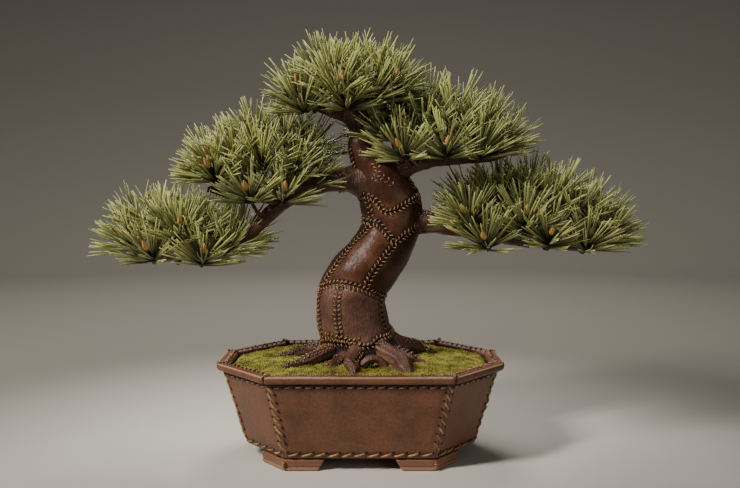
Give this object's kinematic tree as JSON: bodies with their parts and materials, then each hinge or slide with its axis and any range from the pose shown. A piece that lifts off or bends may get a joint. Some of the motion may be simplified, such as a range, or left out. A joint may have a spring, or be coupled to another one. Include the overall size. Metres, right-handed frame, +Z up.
{
  "type": "bonsai tree in a pot",
  "caption": "Leaning pine bonsai with layered needle pads, its trunk and roots clad in hand-sewn leather, in a footed octagonal pot of laced leather panels with moss.",
  "frame": {"origin": "middle of the pot's base, on the surface it stands on, which is the bottom centre of the bounding box", "axes": "+Z up, +X to the right along the canopy's long direction, -Y towards the front"},
  "size_m": [0.5141, 0.1758, 0.388],
  "materials": {
    "panel_leather": "waxed, satin, hand-dyed brown",
    "trunk_leather": "waxed, semi-gloss, dark brown",
    "lacing_thread": "waxed tan lace",
    "core_wood": "bare",
    "potting_soil": "packed, matt",
    "moss": "soft, matt",
    "pine_needles": "satin"
  },
  "bodies": {
    "root": {"base_board": "panel_leather", "base_lace": "lacing_thread", "branch_crown": "trunk_leather", "branch_left": "trunk_leather", "branch_right_lower": "trunk_leather", "branch_right_upper": "trunk_leather", "corner_lace_back_left_to_left": "lacing_thread", "corner_lace_back_right_to_back": "lacing_thread", "corner_lace_back_to_back_left": "lacing_thread", "corner_lace_front_left_to_front": "lacing_thread", "corner_lace_front_right_to_right": "lacing_thread", "corner_lace_front_to_front_right": "lacing_thread", "corner_lace_left_to_front_left": "lacing_thread", "corner_lace_right_to_back_right": "lacing_thread", "foot_back_left": "panel_leather", "foot_back_right": "panel_leather", "foot_front_left": "panel_leather", "foot_front_right": "panel_leather", "moss": "moss", "needles_crown": "pine_needles", "needles_left_lower": "pine_needles", "needles_left_upper": "pine_needles", "needles_right_lower": "pine_needles", "needles_right_upper": "pine_needles", "pot_panel_back": "panel_leather", "pot_panel_back_left": "panel_leather", "pot_panel_back_right": "panel_leather", "pot_panel_front": "panel_leather", "pot_panel_front_left": "panel_leather", "pot_panel_front_right": "panel_leather", "pot_panel_left": "panel_leather", "pot_panel_right": "panel_leather", "rim_back": "panel_leather", "rim_back_left": "panel_leather", "rim_back_right": "panel_leather", "rim_front": "panel_leather", "rim_front_left": "panel_leather", "rim_front_right": "panel_leather", "rim_lace": "lacing_thread", "rim_left": "panel_leather", "rim_right": "panel_leather", "root_back_left": "trunk_leather", "root_back_right": "trunk_leather", "root_front": "trunk_leather", "root_front_stub": "trunk_leather", "root_left_front": "trunk_leather", "root_left_rear": "trunk_leather", "root_right_front": "trunk_leather", "root_right_rear": "trunk_leather", "root_right_slim": "trunk_leather", "soil": "potting_soil", "trunk_core": "core_wood", "trunk_leather_lower_back": "trunk_leather", "trunk_leather_lower_front": "trunk_leather", "trunk_leather_lower_left": "trunk_leather", "trunk_leather_middle_back": "trunk_leather", "trunk_leather_middle_front": "trunk_leather", "trunk_leather_upper_back": "trunk_leather", "trunk_leather_upper_front": "trunk_leather"}
  },
  "joints": []
}
